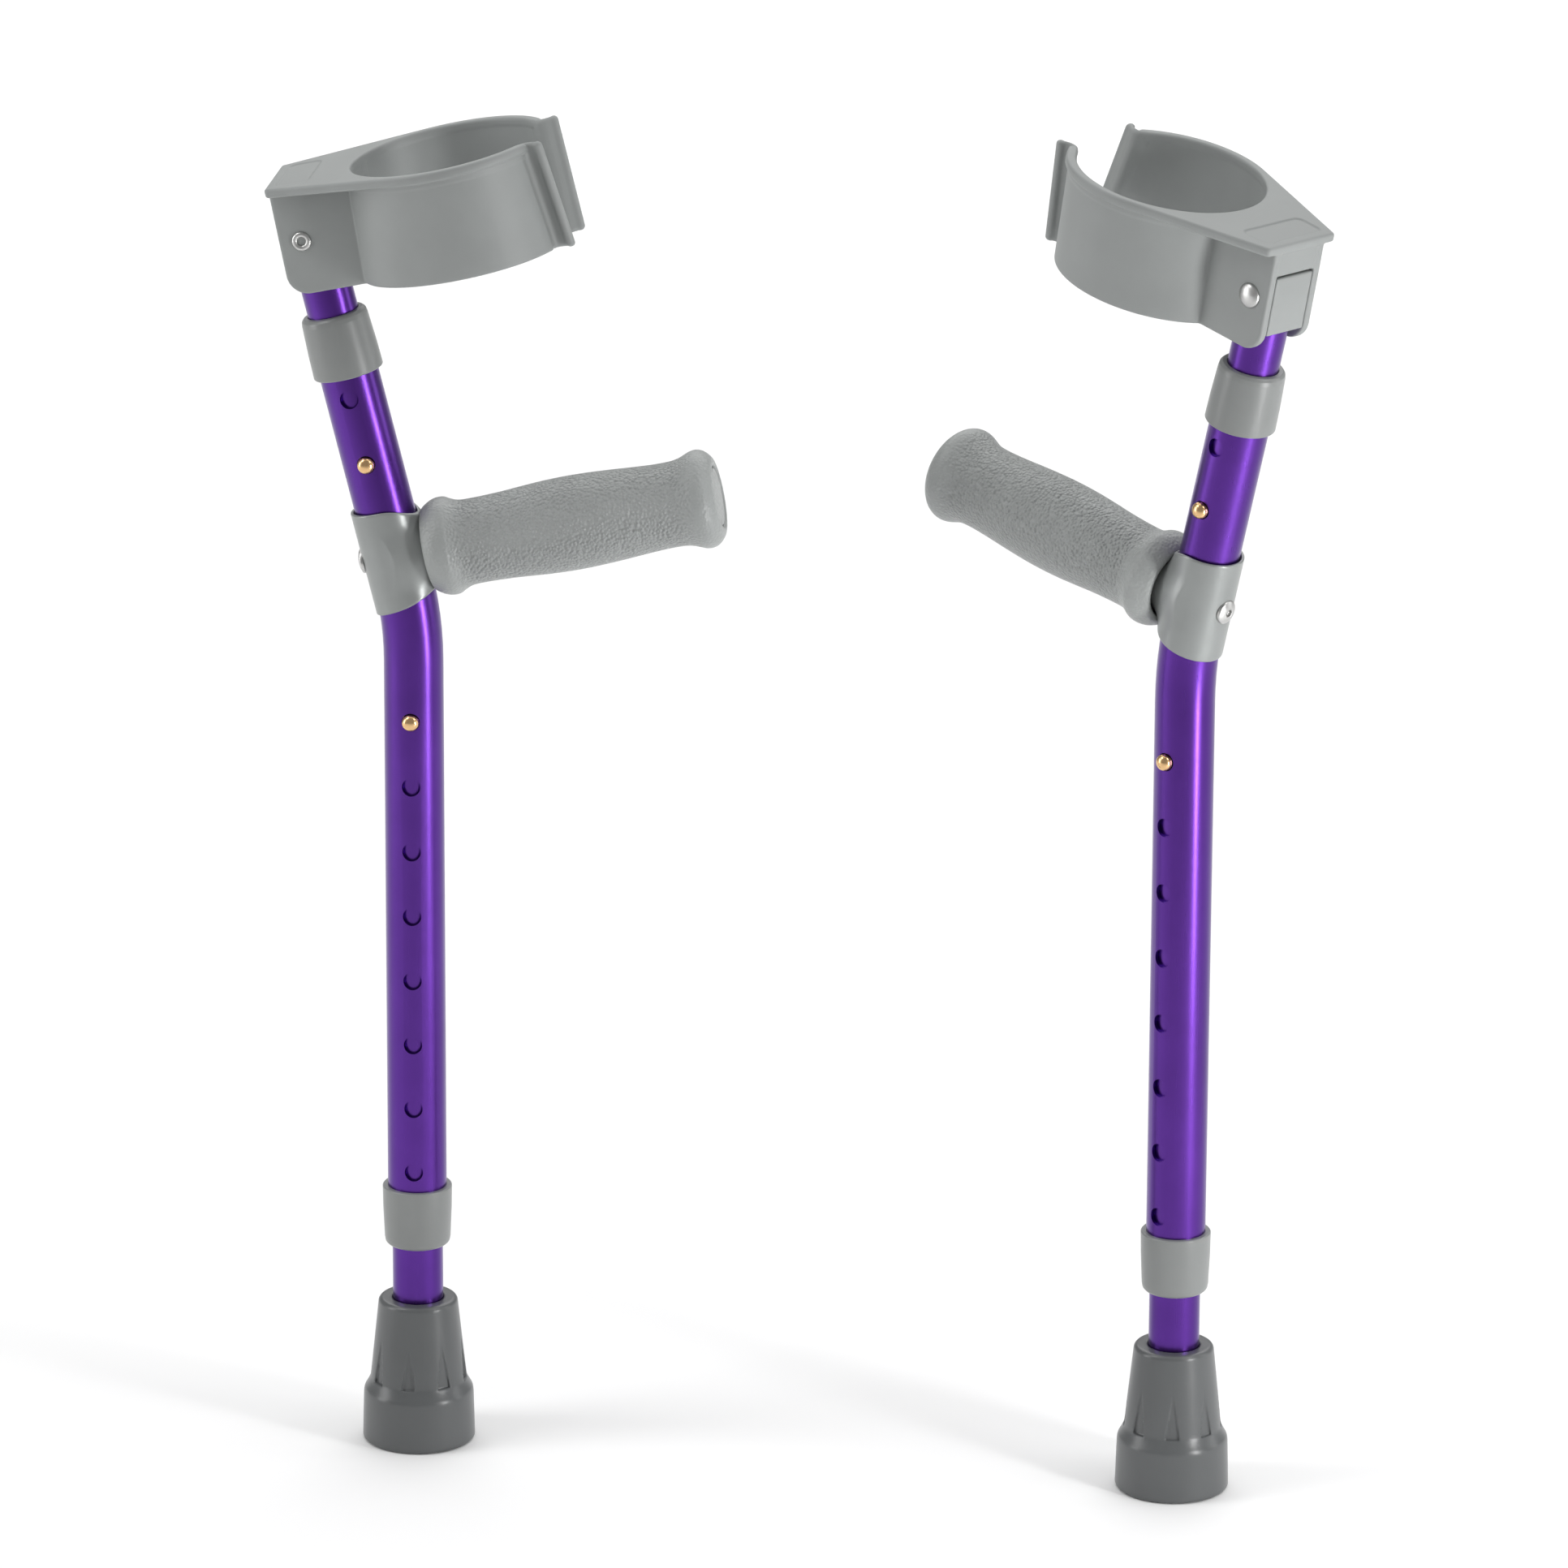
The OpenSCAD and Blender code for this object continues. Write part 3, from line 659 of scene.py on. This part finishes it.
def block_field(x, y, z):
    """Rounded box whose rear face follows the cheeks' rear edges."""
    height = BLOCK_HIGH - BLOCK_LOW
    slope = 1 / height
    behind = (BLOCK_REAR - slope * (BLOCK_HIGH - z) - x) / math.hypot(1, slope)
    body = round_max(behind, np.abs(z - (BLOCK_HIGH + BLOCK_LOW) / 2) - height / 2, 0.6)
    body = round_max(body, np.abs(y) - BLOCK_HALF, 0.6)
    return round_max(body, x - BLOCK_FRONT, 0.5)


def block_shape():
    return net("cuff_block", block_field, (-11, -11, -15), (11, 11, 10.5), 0.45)


def dome(radius, base, height, steps):
    """Quarter of an ellipse from the rim at base up to the axis."""
    angles = [math.pi / 2 * i / steps for i in range(steps)]
    rim = [(radius * math.cos(a), base + height * math.sin(a)) for a in angles]
    return rim + [(0.0, base + height)]


def rivet_shape():
    """Tubular rivet: a domed head at one end and a rolled hollow end at the other."""
    end = -CHEEK_OUT
    hollow = [(0.0, end + 0.9), (0.9, end + 0.7), (1.3, end + 0.9), (1.5, end + 0.5)]
    lip = [(1.55, end - 0.1), (1.75, end - 0.6), (2.6, end - 0.95), (3.4, end - 0.6), (3.7, end)]
    shank = [(RIVET_R, end + 0.05), (RIVET_R, CHEEK_OUT)]
    head = dome(RIVET_HEAD_R, CHEEK_OUT, RIVET_HEAD_H, 8)
    return revolve("cuff_rivet", hollow + smooth_curve(lip, 4) + shank + head, 48)


# ---- collar and buttons ----

TUBE_R = 11.1  # bore of a collar on the main tube
BORE_R = 9.62  # bore that just clears the leg or forearm tube
BUTTON_OUT = 14.1  # crown of a button from the tube's axis
BUTTON_IN = 5.6  # inner face of a button
BUTTON_R, BUTTON_DOME = 3.12, 2.3
BUTTON_RIM_R, BUTTON_RIM_T = 4.1, 0.8


def collar_shape():
    """Sleeve with a wide open end and a rounded closed end."""
    corners = [
        (TUBE_R, 0.0, 0), (12.75, 0.0, 0.3), (13.1, 0.45, 0.3), (12.95, 9.0, 0), (12.45, 20.6, 1.0),
        (12.15, 22.3, 1.2), (11.2, COLLAR_L - 0.1, 0.8), (9.7, COLLAR_L, 0),
    ]
    shell = rounded([(r, z) for r, z, _ in corners], [soft for _, _, soft in corners], 4)
    stop = COLLAR_L - 3.5
    inside = [(BORE_R, COLLAR_L - 0.2), (BORE_R, stop), (TUBE_R, stop), (TUBE_R, 0.0)]
    return revolve("collar", shell + inside, 112, 35)


def button_shape():
    """Round-nosed snap button, with the rim that stops it in the hole. Z out from the tube's axis."""
    rim = BUTTON_IN + BUTTON_RIM_T
    base = [(0.0, BUTTON_IN), (BUTTON_RIM_R, BUTTON_IN), (BUTTON_RIM_R, rim), (BUTTON_R, rim)]
    return revolve("button", base + dome(BUTTON_R, BUTTON_OUT - BUTTON_DOME, BUTTON_DOME, 11), 48)


# ---- handle ----
# Local frame: Z out along the grip from the upper tube's axis. The bracket's own Z runs up the tube.

GRIP = [  # (radius, distance from the tube's axis): bracket's flange, waist, palm swell, outer flange
    (13.2, 12.3), (14.6, 12.2), (15.8, 13.0), (16.9, 14.6), (17.9, 16.6), (18.4, 19.0), (18.2, 21.2),
    (17.2, 23.2), (16.3, 25.4), (15.9, 27.9), (15.85, 31.8), (15.95, 36.6), (16.25, 43.3), (16.75, 50.0),
    (17.25, 57.7), (17.5, 66.3), (17.35, 75.0), (16.9, 83.6), (16.3, 92.2), (15.9, 99.0), (15.8, 104.0),
    (15.95, 107.6), (16.5, 110.4), (17.4, 112.8), (18.2, 115.0), (18.4, 117.2), (17.7, 119.4),
    (16.2, 121.2), (14.5, 122.4), (12.9, 122.8),
]
CORE_R = 9.6  # the grip's hole for the handle's core
CAP_R = 10.8
CAP_SEAT = 119.6
DROOP = 1.6  # degrees that the handle droops from square to the upper tube
SLEEVE_R = 12.7
SLEEVE_BORE = 11.12
SLEEVE_TOP, SLEEVE_LOW = 20.0, -20.3
TOP_FALL = (0.8, 4.9)  # how far the top falls by the front, in proportion and as a square
LOW_RISE = (2.2, 1.9)  # how the lower edge rises likewise, the first from the back on
FLARE_WIDE, FLARE_DEEP = 0.6, 1.6  # widening at each end of the bracket's bore
STUB_R, STUB_START, STUB_END = 10.2, 4, 18
BOLT_CROWN, BOLT_CROWN_R = 14.5, 9.5  # the crown's distance behind the tube's axis, and its radius
BOLT_HEAD_R, BOLT_SEAT = 4.6, 12.0
BOLT_SOCKET = 1.4  # half the hexagon's width
BOLT_SOCKET_FLOOR = 13.0
BOLT_R, BOLT_END = 2.5, 8


def grip_shape():
    """Waisted grip with a flange at each end, hollow at the bracket and recessed round its end cap."""
    root = [(CORE_R, 18.2), (12.4, 18.0), (12.6, 13.2)]
    recess = [(12.1, 122.7), (11.7, 122.4), (11.5, 121.9), (11.5, CAP_SEAT), (CORE_R, CAP_SEAT), root[0]]
    return revolve("hand_grip", root + smooth_curve(GRIP, 6) + recess, 128, 50)


def grip_cap_shape():
    """Disc that closes the grip's free end, on a plug in the handle's core."""
    plug = [(0.0, 110.5), (8.0, 110.5), (8.0, CAP_SEAT + 0.2)]
    disc = [(CAP_R, CAP_SEAT + 0.2), (CAP_R, 122.4), (0.0, 122.7)]
    return revolve("grip_end_cap", rounded(plug + disc, [0, 0.3, 0, 0.2, 0.7, 0]), 72)


def bracket_field(x, y, z):
    """Sleeve round the tube, cut away at the front, that flares into a round stub under the grip."""
    droop = math.radians(DROOP)
    along = math.cos(droop) * x - math.sin(droop) * z
    across = np.hypot(y, math.sin(droop) * x + math.cos(droop) * z)
    r = np.hypot(x, y)
    share = np.clip(x / SLEEVE_R, -1, 1.2)  # -1 at the back, 1 under the grip
    ahead = np.maximum(share, 0)
    top = SLEEVE_TOP - TOP_FALL[0] * ahead - TOP_FALL[1] * ahead**2
    low = SLEEVE_LOW + LOW_RISE[0] * (share + 1) + LOW_RISE[1] * ahead**2
    ends = np.maximum(z - top, low - z) / 1.15  # about square to the sloping ends
    sleeve = round_max(r - SLEEVE_R, ends, 0.55)
    stub = round_max(across - STUB_R, along - STUB_END, 0.4)
    stub = np.maximum(stub, STUB_START - along)
    flare = smooth_min(sleeve, stub, 7.5)
    flare = round_max(flare, ends - 0.05, 0.55)
    near_end = np.clip(1 - np.minimum(top - z, z - low) / FLARE_DEEP, 0, 1)
    return round_max(flare, SLEEVE_BORE + FLARE_WIDE * near_end - r, 0.3)


def bracket_shape():
    return net("handle_bracket", bracket_field, (-14, -14, -22), (20, 14, 22), 0.42)


def bolt_field(x, y, z):
    """Button head with a hexagon socket. The head faces away from the grip, to -Z."""
    r = np.hypot(x, y)
    crown = np.sqrt(r * r + (z + BOLT_CROWN - BOLT_CROWN_R) ** 2) - BOLT_CROWN_R
    head = round_max(np.maximum(crown, z + BOLT_SEAT), r - BOLT_HEAD_R, 0.35)
    flats = [np.abs(x * math.cos(a) + y * math.sin(a)) for a in (0, math.pi / 3, 2 * math.pi / 3)]
    socket = np.maximum(np.max(flats, 0) - BOLT_SOCKET, z + BOLT_SOCKET_FLOOR)
    head = round_max(head, -socket, 0.15)
    shank = np.maximum(r - BOLT_R, np.maximum(z - BOLT_END, -BOLT_SEAT - 0.5 - z))
    return np.minimum(head, shank)


def bolt_shape():
    return net("handle_bolt", bolt_field, (-5.2, -5.2, -15.2), (5.2, 5.2, 8.6), 0.22)


# ---- foot tip ----
# Local frame: Z up the leg from the sole, X the way the handle points.

FOOT = [  # (height, radius): band, shoulder, cone
    (-3.0, 21.42), (10.0, 21.1), (16.0, 20.92), (18.2, 20.85), (19.4, 20.72), (20.3, 20.42), (21.0, 20.0),
    (22.0, 19.42), (23.2, 18.8), (23.9, 18.5), (24.6, 18.3), (26.0, 18.1), (40.0, 16.6), (60.0, 14.5),
]
FOOT_TOP = 56.5
FOOT_SOCKET_LOW = 5
FLUTES = 8
FLUTE_TURN = 39  # first flute, degrees from X
FLUTE_LOW = 24.3
FLUTE_H = 17.2
FLUTE_HALF = 2.7  # half its width at the bottom; it narrows to a point at the top
FLUTE_FLOOR_R = 17.2
FLUTE_RUN_IN = 0.85  # the floor comes in by this on its way up


def foot_field(x, y, z):
    """Fluted rubber tip: a wide band, a rounded shoulder and a cone with narrow wedge flutes."""
    r = np.hypot(x, y)
    heights, radii = np.array(FOOT).T
    slope = np.interp(z, (heights[1:] + heights[:-1]) / 2, np.diff(radii) / np.diff(heights))
    body = (r - np.interp(z, heights, radii)) / np.hypot(1, slope)
    body = round_max(body, z - FOOT_TOP, 1.7)
    body = round_max(body, -z, 1.3)
    share = np.clip((z - FLUTE_LOW) / FLUTE_H, -0.2, 1)
    angle = np.arctan2(y, x) - math.radians(FLUTE_TURN)
    period = 2 * math.pi / FLUTES
    off = np.abs((angle + period / 2) % period - period / 2) * r
    floor = FLUTE_FLOOR_R - FLUTE_RUN_IN * share
    flute = round_max(off - FLUTE_HALF * (1 - share), floor - r, 0.3)
    flute = np.maximum(flute, FLUTE_LOW - z)
    body = round_max(body, -flute, 0.3)
    bore = np.maximum(r - BORE_R, FOOT_SOCKET_LOW - z)
    return round_max(body, -bore, 0.5)


def foot_shape():
    return net("foot_tip", foot_field, (-22.5, -22.5, -1), (22.5, 22.5, 58), 0.5)


# ---- placing ----


def place(name, mesh, matrix, body, node):
    """Puts a mesh on a crutch: it rides on body and stands for the CAD node."""
    piece = bpy.data.objects.new(name, mesh)
    bpy.context.scene.collection.objects.link(piece)
    piece.matrix_world = matrix
    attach(piece, body)
    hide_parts(node)


def make_shapes():
    """One mesh of each shape under its name, with its material; both crutches share them."""
    made = (
        (cuff_shape, "grey_plastic"),
        (block_shape, "grey_plastic"),
        (rivet_shape, "bright_steel"),
        (collar_shape, "collar_plastic"),
        (button_shape, "brass"),
        (grip_shape, "grip_vinyl"),
        (grip_cap_shape, "grip_vinyl"),
        (bracket_shape, "bracket_paint"),
        (bolt_shape, "bright_steel"),
        (foot_shape, "tip_rubber"),
    )
    shapes = {}
    for shape, look in made:
        mesh = shape()
        mesh.materials.append(MATERIALS[look])
        shapes[mesh.name] = mesh
    return shapes


def crutch_parts(side):
    """(CAD node, shape, frame, body, slot) of one crutch's pieces, names without the side."""
    rivet, handle = rivet_frame(side), handle_frame(side)
    y_to_z = Matrix.Rotation(math.radians(-90), 4, "X")
    parts = [
        ("cuff", "cuff", cuff_frame(side), "cuff", "grey_plastic"),
        ("cuff_block", "cuff_block", rivet, "forearm", "grey_plastic"),
        ("cuff_rivet", "cuff_rivet", rivet @ y_to_z, "cuff", "bright_steel"),
        ("leg_collar", "collar", collar_frame(side, "leg"), "frame", "grey_plastic"),
        ("forearm_collar", "collar", collar_frame(side, "forearm"), "frame", "grey_plastic"),
        ("hand_grip", "hand_grip", handle, "frame", "grip_vinyl"),
        ("grip_end_cap", "grip_end_cap", handle, "frame", "grip_vinyl"),
        ("handle_bracket", "handle_bracket", sleeve_frame(side), "frame", "bracket_paint"),
        ("handle_bolt", "handle_bolt", handle, "frame", "bright_steel"),
        ("foot_tip", "foot_tip", leg_frame(side), "leg", "tip_rubber"),
    ]
    for group in GROUPS:
        for number in (1, 2):
            name = f"{group}_button_{number}"
            parts.append((name, "button", button_frame(side, group, number), name, "brass"))
    return parts


def build_crutches():
    shapes = make_shapes()
    for side in SIDES:
        for name, shape, matrix, body, slot in crutch_parts(side):
            node = f"{side}_{name}"
            place(f"{node}_piece", shapes[shape], matrix, f"{side}_{body}", node)


def finish_cad_nodes():
    """Gives every CAD node its slot's material."""
    slots = {s["node"]: s["material_slot"] for s in record["subparts"]}
    for name, node in frame["nodes"].items():
        node.data.materials.clear()
        node.data.materials.append(MATERIALS[slots[name]])


# ---- stage ----

FLOOR_HALF = 12
FLOOR_GAP = 0.0002  # the floor lies just under the tips


def make_floor():
    corners = [(x * FLOOR_HALF, y * FLOOR_HALF, 0) for x, y in ((-1, -1), (1, -1), (1, 1), (-1, 1))]
    mesh = bpy.data.meshes.new("floor")
    mesh.from_pydata(corners, [], [(0, 1, 2, 3)])
    mesh.materials.append(MATERIALS["floor"])
    floor = bpy.data.objects.new("floor", mesh)
    bpy.context.scene.collection.objects.link(floor)
    floor.location.z = cad_box[0].z - FLOOR_GAP


def make_light(name, eye, target, width, height, power):
    """White area light, with sizes and places in metres and its power in watts."""
    data = bpy.data.lights.new(name, "AREA")
    data.shape = "RECTANGLE"
    data.size, data.size_y = width, height
    data.energy = power
    light = bpy.data.objects.new(name, data)
    bpy.context.scene.collection.objects.link(light)
    light.rotation_mode = "QUATERNION"
    light.location = eye
    light.rotation_quaternion = (Vector(target) - Vector(eye)).to_track_quat("-Z", "Y")


def make_world():
    bpy.context.scene.view_settings.view_transform = "Standard"
    world = bpy.data.worlds.new("studio")
    world.use_nodes = True
    background = world.node_tree.nodes["Background"]
    background.inputs["Color"].default_value = (1, 1, 1, 1)
    background.inputs["Strength"].default_value = 0.33
    bpy.context.scene.world = world


def make_lights():
    """A broad top light, one for the floor behind, a strip for the tubes' highlight and four soft sides."""
    centre = (0.15, -0.02, 0.25)
    make_light("top", (0.15, 1.4, 3.2), (0.15, 1.4, 0), 4.0, 4.0, 59)
    make_light("back_floor", (0.15, 3.4, 2.2), (0.15, 3.4, 0), 3.6, 3.0, 52)
    make_light("right_low_strip", (0.88, -0.47, 0.24), (0.15, -0.02, 0.24), 0.1, 0.46, 3.9)
    make_light("left_side", (-1.5, -0.35, 0.6), centre, 0.6, 1.1, 8)
    make_light("right_side", (1.9, 0.35, 0.7), centre, 0.5, 1.2, 4)
    make_light("upper_left", (-1.0, -0.4, 1.62), centre, 0.6, 0.6, 6)
    make_light("upper_right", (1.35, -0.4, 1.62), centre, 0.5, 0.5, 5)


# Fitted to the holes and tube outlines in the photograph: degrees, metres and millimetres of lens.
CAMERA_AZIMUTH = 4.77
CAMERA_ELEVATION = 17.73
CAMERA_ROLL = 0.27
CAMERA_DISTANCE = 3.532
CAMERA_TARGET = (0.1522, -0.1654, 0.3177)
CAMERA_LENS = 228.7


def make_camera():
    azimuth, elevation = math.radians(CAMERA_AZIMUTH), math.radians(CAMERA_ELEVATION)
    forward = Vector((
        -math.sin(azimuth) * math.cos(elevation),
        math.cos(azimuth) * math.cos(elevation),
        -math.sin(elevation),
    ))
    data = bpy.data.cameras.new("camera")
    data.sensor_width = 36
    data.lens = CAMERA_LENS
    data.clip_start, data.clip_end = 0.05, 60
    camera = bpy.data.objects.new("camera", data)
    bpy.context.scene.collection.objects.link(camera)
    camera.rotation_mode = "QUATERNION"
    camera.location = Vector(CAMERA_TARGET) - forward * CAMERA_DISTANCE
    roll = Matrix.Rotation(math.radians(CAMERA_ROLL), 3, "Z").to_quaternion()
    camera.rotation_quaternion = forward.to_track_quat("-Z", "Y") @ roll
    bpy.context.scene.camera = camera


make_camera()
make_world()
make_lights()
make_floor()
finish_cad_nodes()
build_crutches()
